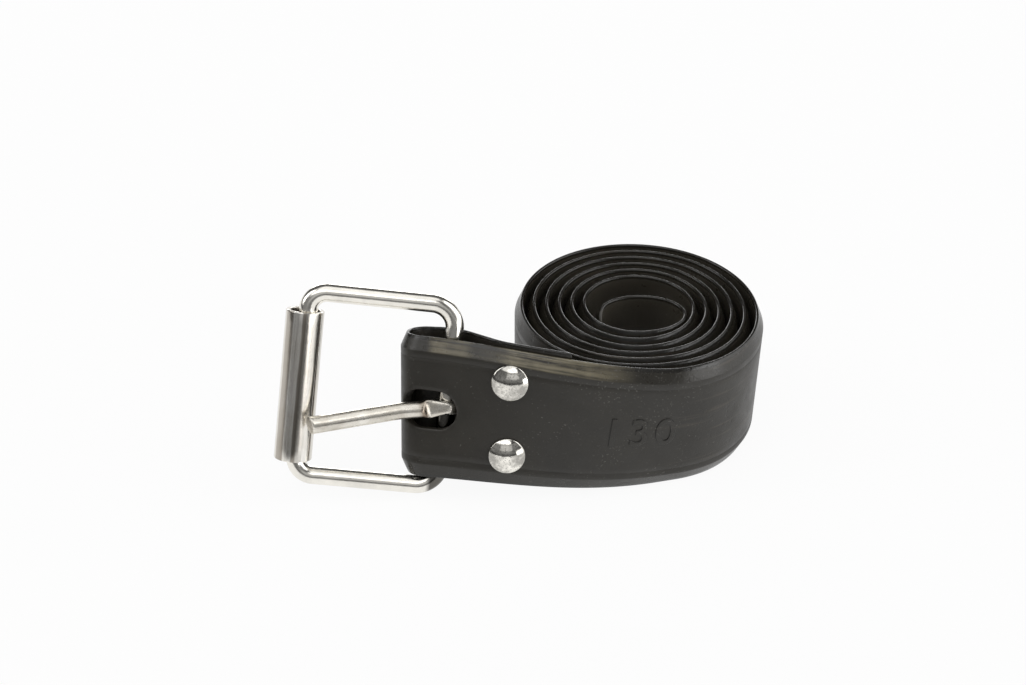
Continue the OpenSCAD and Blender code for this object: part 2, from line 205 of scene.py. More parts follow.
def mark_points(piece, name, rows):
    """Keeps a vector on every point of a piece, under a name."""
    attribute = piece.data.attributes.new(name, "FLOAT_VECTOR", "POINT")
    attribute.data.foreach_set("vector", np.array(rows, np.float32).ravel())


def skinned(rings, count, first=0):
    """The faces between equal rings of points that follow each other, and a face at each end."""
    faces = []
    for a in range(first, first + (rings - 1) * count, count):
        b = a + count
        faces += [(a + j, a + (j + 1) % count, b + (j + 1) % count, b + j) for j in range(count)]
    last = first + (rings - 1) * count
    return faces + [tuple(range(first + count - 1, first - 1, -1)), tuple(range(last, last + count))]


path = mesh_object("strap_path", along_path(points) * mm + np.array(coil_axis), [])
mark_points(path, "out", along_path(outs))
mark_points(path, "up", along_path(ups))


def arc_corner(before, corner, after, radius, steps):
    """Points that round a corner of a section."""
    a, b = unit(before - corner), unit(after - corner)
    half_angle = math.acos(float(np.clip(np.dot(a, b), -1, 1))) / 2
    start, end = (corner + way * radius / math.tan(half_angle) for way in (a, b))
    centre = corner + unit(a + b) * radius / math.sin(half_angle)
    rows = []
    for t in np.linspace(0, 1, steps + 1):
        rows.append(centre + unit((1 - t) * unit(start - centre) + t * unit(end - centre)) * radius)
    return rows


line_place, line_step, line_depth = 17.6, 0.15, 0.07
crest_rounding, rim_rounding, bevel_rounding = 0.6, 0.35, 1.2
middle_columns, middle_reach, column_step = 18, 15.5, 1.8


def strap_section():
    """The strap's outline across, as (height across, distance out), from the inner face's lower corner."""
    h = strap_middle
    corners = [(-h, -edge_land, crest_rounding), (-h, 0.0, rim_rounding),
               (-h + bevel_height, outer_face, bevel_rounding), (h - bevel_height, outer_face, bevel_rounding),
               (h, 0.0, rim_rounding), (h, -edge_land, crest_rounding)]
    places = [np.array(c[:2]) for c in corners]
    rounded = []
    for i, (y, z, radius) in enumerate(corners):
        rounded += arc_corner(places[i - 1], places[i], places[(i + 1) % 6], radius, 4)
    outline = []
    for i, p in enumerate(rounded):
        following = rounded[(i + 1) % len(rounded)]
        if abs(p[1] - outer_face) + abs(following[1] - outer_face) < 0.02 and abs(following[0] - p[0]) > 20:
            # The outer face, with the fine line that the mould leaves beside each bevel
            beside = [line_place + line_step * k for k in (-2, -1, 0, 1, 2)]
            outline.append(p)
            middle = np.linspace(-middle_reach, middle_reach, middle_columns)
            for y in [-y for y in reversed(beside)] + list(middle) + beside:
                in_line = abs(abs(y) - line_place) < 1.4 * line_step
                outline.append(np.array([y, outer_face - in_line * line_depth]))
            continue
        parts = max(1, round(np.linalg.norm(following - p) / column_step))
        outline += [p + (following - p) * k / parts for k in range(parts)]
    return outline


end_corner, tail_corner, strap_stations, cut_lip = 9.0, 1.5, 940, 0.35


def corner_cut(distance, radius):
    """How much narrower each side of the strap is at a distance from a rounded end."""
    return 0.0 if distance >= radius else radius - math.sqrt(radius ** 2 - (radius - distance) ** 2)


def flat_strap():
    """The strap lying flat: x along it, y across, z out of its outer face, with both ends' corners rounded."""
    outline = strap_section()
    near_tail = [tail_corner * (i / 6) ** 2 for i in range(6)]
    near_end = [strap_length - end_corner * (i / 14) ** 2 for i in range(13, -1, -1)]
    stations = near_tail + list(np.linspace(tail_corner, near_end[0] - 0.8, strap_stations)) + near_end
    vertices = []
    for x in stations:
        cut = max(corner_cut(x, tail_corner), corner_cut(strap_length - x, end_corner))
        for y, z in outline:
            inner = strap_middle - bevel_height - 1.5
            moved = y * (inner - cut) / inner if abs(y) < inner else math.copysign(abs(y) - cut, y)
            vertices.append((x * mm, moved * mm, z * mm))
    return mesh_object("strap_rubber", vertices, skinned(len(stations), len(outline)))


strap = flat_strap()


def lipped_cutter(outlines, low, high, lip):
    """A cutter whose sides flare at both ends, so that the cut gets a rounded lip."""
    levels = [(low - 0.5, 2 * lip), (low, lip), (low + 0.4 * lip, 0.35 * lip), (low + lip, 0.0),
              (high - lip, 0.0), (high - 0.4 * lip, 0.35 * lip), (high, lip), (high + 0.5, 2 * lip)]
    vertices, faces = [], []
    for outline in outlines:
        first, count = len(vertices), len(outline(0.0))
        for z, grow in levels:
            vertices += [(x * mm, y * mm, z * mm) for x, y in outline(grow)]
        faces += skinned(len(levels), count, first)
    return mesh_object("cutter", vertices, faces)


def stadium(x0, x1, y, radius, steps=24):
    """A slot's outline, or a hole's where x0 is x1."""
    def outline(grow):
        rows = []
        for x, start in ((x1, -90), (x0, 90)):
            for k in range(steps + 1):
                c, s = turned(start + 180 * k / steps)
                if x0 == x1 and k == steps:
                    continue
                rows.append((x + (radius + grow) * c, y + (radius + grow) * s))
        return rows
    return outline


slot_width, slot_drop, slot_reach, slot_into_fold = 13.5, 0.3, 13.2, 6.0
rivet_distance, rivet_spacing, rivet_rise, rivet_stagger, rivet_hole = 31.2, 26.8, 0.3, 1.1, 4.7
hole_count, hole_diameter, hole_pitch, hole_start = 6, 6.5, 40.0, 75.0
slot_end = slot_width / 2
slot_from, slot_to = fold_start - slot_into_fold + slot_end, fold_start + slot_reach - slot_end
cuts = [stadium(slot_from, slot_to, -slot_drop, slot_end)]
for i in range(hole_count):
    x = strap_length - hole_start - i * hole_pitch
    cuts.append(stadium(x, x, 0.0, hole_diameter / 2))
for side in (-1, 1):
    y = rivet_rise + side * rivet_spacing / 2
    q = rivet_distance - side * rivet_stagger
    q += slant(q) * y
    cuts.append(stadium(fold_start + q, fold_start + q, y, rivet_hole / 2))
    cuts.append(stadium(tail_end - q, tail_end - q, y - tail_rise, rivet_hole / 2))
cutter = lipped_cutter(cuts, -edge_land, outer_face, cut_lip)


def applied(piece):
    """The piece with its modifiers made into its own plain mesh."""
    graph = bpy.context.evaluated_depsgraph_get()
    mesh = bpy.data.meshes.new_from_object(piece.evaluated_get(graph), preserve_all_data_layers=True,
                                           depsgraph=graph)
    piece.modifiers.clear()
    old = piece.data
    piece.data = mesh
    bpy.data.meshes.remove(old)
    mesh.name = piece.name
    return piece


def boolean(piece, other, operation):
    """Cuts the other piece out of the first, or joins it on, and takes the other away."""
    cut = piece.modifiers.new(operation.lower(), "BOOLEAN")
    cut.object, cut.operation, cut.solver = other, operation, "EXACT"
    applied(piece)
    bpy.data.objects.remove(other)


boolean(strap, cutter, "DIFFERENCE")


def facing_out(piece):
    """The piece with its doubles merged and its faces turned outwards."""
    work = bmesh.new()
    work.from_mesh(piece.data)
    bmesh.ops.remove_doubles(work, verts=work.verts, dist=1e-7)
    bmesh.ops.recalc_face_normals(work, faces=work.faces)
    work.to_mesh(piece.data)
    work.free()
    return piece


# A plain number is moulded on the run
number_height, number_relief, number_edge, number_place, number_drop = 11.0, 0.34, 0.24, 77.3, 0.8
capital_share, thinner = 0.7, 0.05


def raised_number(text):
    letters = bpy.data.curves.new("number", "FONT")
    letters.body, letters.size, letters.space_character = text, number_height * mm / capital_share, 1.2
    letters.align_x, letters.align_y, letters.resolution_u = "CENTER", "CENTER", 4
    letters.offset, letters.bevel_depth = -thinner * mm, number_edge * mm
    letters.extrude = (number_relief - number_edge) * mm
    piece = bpy.data.objects.new("number", letters)
    bpy.context.scene.collection.objects.link(piece)
    graph = bpy.context.evaluated_depsgraph_get()
    mesh = bpy.data.meshes.new_from_object(piece.evaluated_get(graph))
    mesh.transform(Matrix.Translation(((fold_start + number_place) * mm, -number_drop * mm, outer_face * mm)))
    bpy.data.objects.remove(piece)
    number = bpy.data.objects.new("number", mesh)
    bpy.context.scene.collection.objects.link(number)
    return facing_out(number)


boolean(strap, raised_number("130"), "UNION")


class Nodes:
    """A node tree, with short ways to add nodes to it."""

    def __init__(self, tree):
        self.tree = tree

    def give(self, socket, value):
        """Links a socket to another one, or sets its value."""
        if isinstance(value, bpy.types.NodeSocket):
            self.tree.links.new(value, socket)
        else:
            socket.default_value = value

    def node(self, kind, inputs=None, **settings):
        node = self.tree.nodes.new(kind)
        for key, value in settings.items():
            setattr(node, key, value)
        for key, value in (inputs or {}).items():
            self.give(node.inputs[key], value)
        return node

    def math(self, operation, a, b=0.0, c=0.0):
        return self.node("ShaderNodeMath", {0: a, 1: b, 2: c}, operation=operation).outputs[0]

    def times(self, a, b):
        return self.math("MULTIPLY", a, b)


class Tree(Nodes):
    """A Geometry Nodes tree with named inputs."""

    def __init__(self, name, inputs):
        super().__init__(bpy.data.node_groups.new(name, "GeometryNodeTree"))
        face = self.tree.interface
        face.new_socket("Geometry", in_out="INPUT", socket_type="NodeSocketGeometry")
        for label, kind in inputs.items():
            face.new_socket(label, in_out="INPUT", socket_type="NodeSocket" + kind)
        face.new_socket("Geometry", in_out="OUTPUT", socket_type="NodeSocketGeometry")
        self.given = self.tree.nodes.new("NodeGroupInput")
        self.result = self.tree.nodes.new("NodeGroupOutput")

    def moved(self, place, way, distance):
        """The place moved along a direction."""
        step = self.node("ShaderNodeVectorMath", {0: way, "Scale": distance}, operation="SCALE").outputs[0]
        return self.node("ShaderNodeVectorMath", {0: place, 1: step}, operation="ADD").outputs[0]

    def finish(self, geometry, material):
        real = self.node("GeometryNodeRealizeInstances", {"Geometry": geometry}).outputs[0]
        painted = self.node("GeometryNodeSetMaterial", {"Geometry": real, "Material": material}).outputs[0]
        self.give(self.result.inputs[0], painted)

    def put_on(self, piece, **values):
        modifier = piece.modifiers.new(self.tree.name, "NODES")
        modifier.node_group = self.tree
        for item in self.tree.interface.items_tree:
            if item.in_out == "INPUT" and item.name in values:
                modifier[item.identifier] = values[item.name]
        return applied(piece)


def laying_tree():
    """Lays a flat strip along a path: X follows the path, Y its up and Z its out direction."""
    t = Tree("lay along path", {"Path": "Object", "Spacing": "Float", "Material": "Material"})
    rail = t.node("GeometryNodeObjectInfo", {"Object": t.given.outputs["Path"]}).outputs["Geometry"]
    flat = t.node("GeometryNodeInputPosition").outputs[0]
    kept = t.node("GeometryNodeStoreNamedAttribute", {"Geometry": t.given.outputs["Geometry"], "Name": "flat",
                  "Value": flat}, data_type="FLOAT_VECTOR", domain="POINT").outputs[0]
    parts = t.node("ShaderNodeSeparateXYZ", {0: flat}).outputs
    step = t.math("DIVIDE", parts[0], t.given.outputs["Spacing"])
    before, share = t.math("FLOOR", step), t.math("FRACT", step)
    after = t.math("ADD", before, 1.0)

    def at_index(value, index):
        return t.node("GeometryNodeSampleIndex", {"Geometry": rail, "Value": value, "Index": index},
                      data_type="FLOAT_VECTOR", domain="POINT", clamp=True).outputs[0]

    def sampled(value):
        mix = {0: share, 4: at_index(value, before), 5: at_index(value, after)}
        return t.node("ShaderNodeMix", mix, data_type="VECTOR").outputs[1]

    place = sampled(t.node("GeometryNodeInputPosition").outputs[0])
    out, up = (sampled(t.node("GeometryNodeInputNamedAttribute", {"Name": name},
                              data_type="FLOAT_VECTOR").outputs[0]) for name in ("out", "up"))
    place = t.moved(t.moved(place, out, parts[2]), up, parts[1])
    laid = t.node("GeometryNodeSetPosition", {"Geometry": kept, "Position": place}).outputs[0]
    t.finish(laid, t.given.outputs["Material"])
    return t


class Finish(Nodes):
    """A procedural material on the principled shader."""

    def __init__(self, name):
        self.material = bpy.data.materials.new(name)
        self.material.use_nodes = True
        super().__init__(self.material.node_tree)
        self.shader = self.tree.nodes["Principled BSDF"]

    def noise(self, where, scale, detail, roughness, stretch=(1, 1, 1)):
        mapping = self.node("ShaderNodeMapping", {"Vector": where, "Scale": stretch})
        return self.node("ShaderNodeTexNoise", {"Vector": mapping.outputs[0], "Scale": scale, "Detail": detail,
                                                "Roughness": roughness}).outputs[0]

    def ramp(self, value, *stops):
        ramp = self.node("ShaderNodeValToRGB", {0: value})
        while len(ramp.color_ramp.elements) < len(stops):
            ramp.color_ramp.elements.new(1.0)
        for element, (place, colour) in zip(ramp.color_ramp.elements, stops):
            element.position = place
            element.color = (*colour, 1) if isinstance(colour, tuple) else (colour, colour, colour, 1)
        return ramp.outputs[0]

    def mix(self, share, under, over):
        """The colour over takes its share of what is under it."""
        return self.node("ShaderNodeMix", {0: share, 6: under, 7: (*over, 1)}, data_type="RGBA").outputs[2]

    def rise(self, value, start, full):
        """0 where the value is at the start, 1 where it is at the full place, and evenly between."""
        return self.node("ShaderNodeMapRange", {0: value, 1: start, 2: full}).outputs[0]

    def bump(self, height, distance, strength=1.0, before=None):
        links = {"Height": height, "Distance": distance, "Strength": strength}
        if before is not None:
            links["Normal"] = before
        return self.node("ShaderNodeBump", links).outputs[0]

    def set(self, **values):
        for key, value in values.items():
            self.give(self.shader.inputs[key.replace("_", " ")], value)


def rubber_finish():
    """Black rubber with dust, rubbed marks and grains, painted light inside the coil and painted shade on the
    crests, laid out on the flat strap.
    """
    f = Finish("strap_rubber")
    flat = f.node("ShaderNodeAttribute", attribute_name="flat").outputs["Vector"]
    at = f.node("ShaderNodeSeparateXYZ", {0: flat}).outputs
    cloud = f.noise(flat, 38, 4, 0.6)
    colour = f.ramp(cloud, (0.3, (0.0150, 0.0133, 0.0098)), (0.7, (0.0245, 0.0215, 0.0158)))
    # In the coil the inner face is painted paler: painted light on the walls inside the coil
    coiled = f.rise(at[0], (fold_start + 90) * mm, (fold_start + 140) * mm)
    painted_wall_light = f.times(f.times(f.rise(at[2], 0.0002, -0.0008), coiled), f.ramp(cloud, (0.3, 0.7), (0.7, 1.0)))
    colour = f.mix(painted_wall_light, colour, (0.056, 0.050, 0.039))
    # The crests of both edges are painted darker: painted shade on the crests
    to_edge = f.math("ABSOLUTE", at[1])
    crest = f.rise(to_edge, (strap_middle - 1.4) * mm, (strap_middle - 0.8) * mm)
    colour = f.mix(f.times(crest, 0.8), colour, (0.008, 0.0072, 0.0058))
    # Brown dust lies in streaks on the upper bevel, from just after the fold to the middle of the run
    q = f.math("SUBTRACT", f.times(at[0], 1 / mm), fold_start)
    bevel_foot = strap_middle - bevel_height
    bevel = f.rise(at[1], (bevel_foot - 0.3) * mm, (bevel_foot + 0.3) * mm)
    lying = f.ramp(f.times(q, 1 / 80), (0.03, 0.0), (0.06, 0.75), (0.18, 0.7), (0.23, 0.12), (0.31, 0.2),
                   (0.38, 1.0), (0.70, 0.95), (0.92, 0.0))
    streak = f.noise(flat, 900, 4, 0.65, (0.035, 1, 1))
    patch = f.noise(flat, 150, 3, 0.6)
    dust = f.ramp(f.math("ADD", streak, f.times(patch, 0.35)), (0.52, 0.0), (0.78, 1.0))
    dust = f.times(f.times(bevel, dust), lying)
    colour = f.mix(f.times(dust, 0.9), colour, (0.205, 0.180, 0.120))
    # Light rubbed marks run along the outer turn
    rub = f.ramp(f.noise(flat, 420, 4, 0.7, (0.05, 1, 1)), (0.56, 0.0), (0.74, 1.0))
    rubbed = f.times(rub, f.rise(q, 78.0, 104.0))
    colour = f.mix(f.times(rubbed, 0.42), colour, (0.120, 0.098, 0.072))
    # The number's sloping sides are darker than the face
    lifted = f.times(f.math("SUBTRACT", at[2], outer_face * mm), 1 / (number_relief * mm))
    sides = f.ramp(lifted, (0.04, 0.0), (0.3, 1.0), (0.75, 1.0), (0.98, 0.0))
    colour = f.mix(f.times(sides, 0.9), colour, (0.004, 0.0035, 0.003))
    # Light grains of dust sit about the number, and a few elsewhere
    near_number = f.ramp(f.times(q, 0.01), (0.42, 0.0), (0.55, 0.09), (0.90, 0.09), (1.0, 0.0))
    grains = f.math("ADD", f.noise(flat, 1250, 1, 0.5), f.times(near_number, 0.5))
    specks = f.ramp(grains, (0.70, 0.0), (0.74, 1.0))
    patches = f.ramp(f.noise(flat, 75, 2, 0.5), (0.46, 0.15), (0.60, 1.0))
    colour = f.mix(f.times(f.times(specks, patches), 0.5), colour, (0.125, 0.120, 0.108))
    # The bevels are smoother than the faces, and the crests are polished
    rough = f.ramp(f.noise(flat, 120, 4, 0.6), (0.3, 0.36), (0.7, 0.50))
    edge = f.rise(to_edge, (bevel_foot - 0.5) * mm, (bevel_foot + 0.5) * mm)
    rough = f.math("SUBTRACT", rough, f.times(edge, 0.12))
    rough = f.math("SUBTRACT", rough, f.times(crest, f.math("SUBTRACT", rough, 0.13)))
    pits = f.ramp(f.noise(flat, 420, 2, 0.5), (0.25, 0.0), (0.42, 1.0))
    normal = f.bump(pits, 0.00012, 0.35, f.bump(f.noise(flat, 2600, 3, 0.6), 0.00006, 0.6))
    f.set(Base_Color=colour, Roughness=rough, Normal=normal, IOR=1.5)
    return f.material


strap.data.shade_smooth()
laying_tree().put_on(strap, Path=path, Spacing=path_step * mm, Material=rubber_finish())
bpy.data.objects.remove(path)


def rivet_axis(side):
    """Where a rivet crosses the strap's crest line, and which way it points: square to the strap."""
    q, across = rivet_distance - side * rivet_stagger, rivet_rise + side * rivet_spacing / 2
    before, middle, after = (run_point(q + d) + across * run_axes(q + d)[1] for d in (-1, 0, 1))
    out = unit(np.cross(unit(after - before), run_axes(q)[1]))
    return np.array(coil_axis) + middle * mm, out


# Each burr has pressed a round flat into the folded end
pressed_radius, pressed_edge, pressed_face = 6.25, 8.5, -layers_apart - outer_face - 0.15
places = np.empty(len(strap.data.vertices) * 3)
strap.data.vertices.foreach_get("co", places)
places = places.reshape(-1, 3)
for side in (-1, 1):
    centre, out = rivet_axis(side)
    away = (places - centre) / mm
    height = away @ out
    radius = np.linalg.norm(away - height[:, None] * out, axis=1)
    share = np.clip((pressed_edge - radius) / (pressed_edge - pressed_radius), 0, 1)
    in_end = (height < pressed_face) & (height > pressed_face - strap_thickness)
    press = np.where(in_end, pressed_face - height, 0) * share
    places += press[:, None] * out * mm
strap.data.vertices.foreach_set("co", places.ravel())

strap.data.set_sharp_from_angle(angle=math.radians(40))
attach(strap, "strap")
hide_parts("strap")

# ---------------------------------------------------------------------------------------------
# The rivets. Two domed heads of bright steel hold the folded end behind the run; behind it each
# shank goes through a burr, a dull steel washer, and its end is spread over it.
# ---------------------------------------------------------------------------------------------
def turning_tree():
    """Turns a profile round the out direction of every place."""
    t = Tree("turned on places", {"Profile": "Object", "Steps": "Int", "Segments": "Int",
                                  "Material": "Material"})
    steps, segments = t.given.outputs["Steps"], t.given.outputs["Segments"]
    columns = t.math("ADD", segments, 1.0)
    grid = t.node("GeometryNodeMeshGrid", {"Size X": segments, "Size Y": t.math("SUBTRACT", steps, 1.0),
                  "Vertices X": columns, "Vertices Y": steps}).outputs[0]
    at = t.node("ShaderNodeSeparateXYZ", {0: t.node("GeometryNodeInputPosition").outputs[0]}).outputs
    turn = t.times(t.math("DIVIDE", at[0], segments), 2 * math.pi)
    row = t.math("ROUND", t.math("ADD", at[1], t.times(t.math("SUBTRACT", steps, 1.0), 0.5)))
    rail = t.node("GeometryNodeObjectInfo", {"Object": t.given.outputs["Profile"]}).outputs["Geometry"]
    profile = t.node("GeometryNodeSampleIndex", {"Geometry": rail,
                     "Value": t.node("GeometryNodeInputPosition").outputs[0], "Index": row},
                     data_type="FLOAT_VECTOR", domain="POINT", clamp=True).outputs[0]
    part = t.node("ShaderNodeSeparateXYZ", {0: profile}).outputs
    place = t.node("ShaderNodeCombineXYZ", {0: t.times(part[0], t.math("COSINE", turn)),
                   1: t.times(part[0], t.math("SINE", turn)), 2: part[2]}).outputs[0]
    skin = t.node("GeometryNodeSetPosition", {"Geometry": grid, "Position": place}).outputs[0]
    closed = t.node("GeometryNodeMergeByDistance", {"Geometry": skin, "Distance": 1e-6}).outputs[0]
    smooth = t.node("GeometryNodeSetShadeSmooth", {"Geometry": closed}).outputs[0]
    out = t.node("GeometryNodeInputNamedAttribute", {"Name": "out"}, data_type="FLOAT_VECTOR").outputs[0]
    aim = t.node("FunctionNodeAlignRotationToVector", {"Vector": out}, axis="Z").outputs[0]
    each = t.node("GeometryNodeInstanceOnPoints", {"Points": t.given.outputs["Geometry"], "Instance": smooth,
                  "Rotation": aim}).outputs[0]
    t.finish(each, t.given.outputs["Material"])
    return t


turning = turning_tree()


def smoothed(piece, sharp_angle):
    """Shades a piece smooth but for its sharp edges."""
    piece.data.shade_smooth()
    facing_out(piece)
    piece.data.set_sharp_from_angle(angle=math.radians(sharp_angle))


def turned_pieces(name, profile, material, nodes):
    """One piece that holds a turned shape at each rivet."""
    places, aims = zip(*[rivet_axis(side) for side in (1, -1)])
    piece = mesh_object(name, places, [])
    mark_points(piece, "out", aims)
    rail = mesh_object("profile", [(r * mm, 0, z * mm) for r, z in profile], [])
    turning.put_on(piece, Profile=rail, Steps=len(profile), Segments=72, Material=material)
    bpy.data.objects.remove(rail)
    smoothed(piece, 50)
    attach(piece, "strap")
    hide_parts(*nodes)


def rounded_profile(corners):
    """A profile as (radius, height) from corners that each have a rounding radius."""
    places = [np.array(c[:2], float) for c in corners]
    rows = [places[0]]
    for i in range(1, len(corners) - 1):
        if corners[i][2]:
            rows += arc_corner(places[i - 1], places[i], places[i + 1], corners[i][2], 5)
        else:
            rows.append(places[i])
    return rows + [places[-1]]


def darker(colour, share):
    return tuple(c * share for c in colour)


def steel_finish(name, colour, rough, speck, tarnish):
    """Pressed steel with cloudy tarnish and small dark pits."""
    f = Finish(name)
    where = f.node("ShaderNodeTexCoord").outputs["Object"]
    cloud = f.noise(where, 140, 4, 0.65)
    shade = f.ramp(cloud, (0.40, darker(colour, 0.82 - tarnish)), (0.60, colour))
    pits = f.ramp(f.noise(where, 1700, 3, 0.7), (0.53, 0.0), (0.62, 1.0))
    shade = f.mix(f.times(pits, speck), shade, darker(colour, 0.35))
    roughness = f.ramp(f.noise(where, 1500, 3, 0.6), (0.3, rough * 0.75), (0.7, rough * 1.35))
    f.set(Base_Color=shade, Roughness=roughness, Metallic=1.0,
          Normal=f.bump(f.noise(where, 900, 3, 0.6), 0.00004, 0.5))
    return f.material


rivet_head, rivet_dome, rivet_rim, seat_gap = 12.9, 2.6, 0.6, 0.25
head_foot, head_rim = outer_face + 0.05, outer_face + seat_gap + rivet_rim
head_top = outer_face + seat_gap + rivet_dome
cap_height = head_top - head_rim
cap_radius = ((rivet_head / 2) ** 2 + cap_height ** 2) / (2 * cap_height)
head_profile = [(cap_radius * math.sin(a), head_top - cap_radius * (1 - math.cos(a)))
                for a in np.linspace(0, math.asin((rivet_head / 2 - 0.35) / cap_radius), 22)]
head_profile += rounded_profile([head_profile[-1], (rivet_head / 2, head_rim - 0.05, 0.3),
                                 (rivet_head / 2, head_foot, 0.15), (0, head_foot)])[1:]
pole = 0.0001
head_profile[0], head_profile[-1] = (pole, head_top), (pole, head_foot)
bright_steel = steel_finish("bright_rivet_steel", (0.95, 0.92, 0.85), 0.10, speck=0.8, tarnish=0.38)
turned_pieces("rivet_heads", head_profile, bright_steel, ("upper_rivet", "lower_rivet"))

burr_diameter, burr_thickness, shank_end, rivet_shank = 12.0, 1.0, 0.9, 4.6
burr_front = -layers_apart - outer_face - 0.1
burr_back = -layers_apart - outer_face - seat_gap - burr_thickness
spread = rivet_shank / 2 + shank_end
burr_profile = rounded_profile([(pole, burr_back - shank_end), (spread, burr_back - shank_end, 0.35),
                                (spread - 0.5, burr_back - 0.02, 0.1), (burr_diameter / 2, burr_back, 0.35),
                                (burr_diameter / 2, burr_front, 0.15), (pole, burr_front)])
dull_steel = steel_finish("dull_burr_steel", (0.56, 0.54, 0.50), 0.34, speck=0.3, tarnish=0.15)
turned_pieces("rivet_burrs", burr_profile, dull_steel, ("upper_burr", "lower_burr"))

# ---------------------------------------------------------------------------------------------
# The buckle's frame. One steel wire bent to a rectangle, whose rear bar lies in the strap's fold
# and whose front bar carries the roller. It is a path with four bends, swept by a round section.
# ---------------------------------------------------------------------------------------------
hinges = {joint["name"]: joint for joint in frame["joints"]}
rear_bar = Vector(hinges["frame_swing"]["pos_m"])
roller_centre = Vector(hinges["roller_spin"]["pos_m"])
roller_x, roller_push, roller_drop = 52.2, 1.15, 0.8
down = -Vector(hinges["frame_swing"]["axis"]).normalized()
toward = roller_centre - rear_bar
toward = (toward - toward.dot(down) * down).normalized()
facing = toward.cross(down)
ahead = (roller_x * toward + roller_push * facing).normalized()
front = (roller_x * facing - roller_push * toward).normalized()


def buckle_place(x, y, z):
    """A place on the buckle in metres: x from the rear bar to the front one, y down, z to the front."""
    return rear_bar + (float(x) * ahead + float(y) * down + float(z) * front) * mm


wire_diameter, frame_length, frame_height = 6.5, 51.2, 65.9
rear_bend, front_bend, bend_steps, wire_step = 8.5, 6.5, 16, 0.8


def wire_tree():
    """A round wire along a closed path with a rounded bend at every corner."""
    t = Tree("bent wire", {"Wire diameter": "Float", "Sides": "Int", "Step": "Float", "Material": "Material"})
    curve = t.node("GeometryNodeMeshToCurve", {"Mesh": t.given.outputs["Geometry"]}).outputs[0]
    bend = t.node("GeometryNodeInputNamedAttribute", {"Name": "bend"}, data_type="FLOAT").outputs[0]
    bent = t.node("GeometryNodeFilletCurve", {"Curve": curve, "Radius": bend, "Count": bend_steps},
                  mode="POLY").outputs[0]
    even = t.node("GeometryNodeResampleCurve", {"Curve": bent, "Length": t.given.outputs["Step"]},
                  mode="LENGTH").outputs[0]
    length = t.node("GeometryNodeSplineParameter").outputs["Length"]
    marked = t.node("GeometryNodeStoreNamedAttribute", {"Geometry": even, "Name": "along", "Value": length},
                    data_type="FLOAT", domain="POINT").outputs[0]
    section = {"Resolution": t.given.outputs["Sides"], "Radius": t.times(t.given.outputs["Wire diameter"], 0.5)}
    ring = t.node("GeometryNodeCurvePrimitiveCircle", section, mode="RADIUS").outputs[0]
    round_way = t.node("GeometryNodeSplineParameter").outputs["Factor"]
    ring = t.node("GeometryNodeStoreNamedAttribute", {"Geometry": ring, "Name": "around", "Value": round_way},
                  data_type="FLOAT", domain="POINT").outputs[0]
    wire = t.node("GeometryNodeCurveToMesh", {"Curve": marked, "Profile Curve": ring}).outputs[0]
    smooth = t.node("GeometryNodeSetShadeSmooth", {"Geometry": wire}).outputs[0]
    t.finish(smooth, t.given.outputs["Material"])
    return t


half_height = frame_height / 2
corners = [(0, -half_height, rear_bend), (frame_length, -half_height, front_bend),
           (frame_length, half_height, front_bend), (0, half_height, rear_bend)]
wire_frame = mesh_object("wire_frame", [buckle_place(x, y, 0) for x, y, radius in corners], [],
                         [(0, 1), (1, 2), (2, 3), (3, 0)])
bends = wire_frame.data.attributes.new("bend", "FLOAT", "POINT")
bends.data.foreach_set("value", [radius * mm for x, y, radius in corners])


def wire_finish(name, colour, rough):
    """Drawn steel wire: fine scratches along it, a few dull patches, and painted shade on the rear bar's lower
    half.
    """
    f = Finish(name)
    where = f.node("ShaderNodeTexCoord").outputs["Object"]
    along = f.node("ShaderNodeAttribute", attribute_name="along").outputs["Fac"]
    around = f.node("ShaderNodeAttribute", attribute_name="around").outputs["Fac"]
    turn = f.times(around, 2 * math.pi)
    rolled = f.node("ShaderNodeCombineXYZ", {0: f.times(along, 40.0), 1: f.math("COSINE", turn),
                    2: f.math("SINE", turn)}).outputs[0]
    scratch = f.noise(rolled, 26, 4, 0.7, (0.25, 1, 1))
    shade = f.ramp(f.noise(where, 90, 4, 0.6), (0.3, darker(colour, 0.80)), (0.7, colour))
    shade = f.mix(f.times(f.ramp(scratch, (0.55, 0.0), (0.8, 1.0)), 0.35), shade, darker(colour, 0.5))

    def beyond_bar(way):
        """How far a point lies from the rear bar's middle in a direction, in metres."""
        part = f.node("ShaderNodeVectorMath", {0: where, 1: tuple(way)}, operation="DOT_PRODUCT")
        return f.math("SUBTRACT", part.outputs["Value"], way.dot(rear_bar))

    # The lower half of the rear bar, inside the fold, is painted dark: painted shade
    painted_bar_shade = f.times(f.rise(beyond_bar(ahead), 0.0045, 0.0030), f.rise(beyond_bar(down), 0.0035, 0.0045))
    shade = f.mix(f.times(painted_bar_shade, 0.88), shade, (0.03, 0.027, 0.023))
    roughness = f.ramp(scratch, (0.3, rough * 0.8), (0.75, rough * 1.6))
    f.set(Base_Color=shade, Roughness=roughness, Metallic=1.0,
          Normal=f.bump(scratch, 0.00003, 0.5, f.bump(f.noise(where, 420, 3, 0.6), 0.00005, 0.4)))
    return f.material


wire_steel = wire_finish("drawn_wire_steel", (0.95, 0.92, 0.85), 0.14)
wire_tree().put_on(wire_frame, **{"Wire diameter": wire_diameter * mm, "Sides": 48, "Step": wire_step * mm,
                                  "Material": wire_steel})
facing_out(wire_frame)
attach(wire_frame, "frame")
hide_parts("buckle_frame")

# ---------------------------------------------------------------------------------------------
# The roller. A sheet of steel rolled to a tube, with an open seam, loose on the front bar. Its
# section is bent round the tube's axis, and the sheet's edges are rounded at the seam.
# ---------------------------------------------------------------------------------------------
roller_diameter, roller_wall, roller_length = 13.3, 1.5, 53.6
seam_width, seam_angle, sheet_rounding = 0.7, 30.0, 0.4


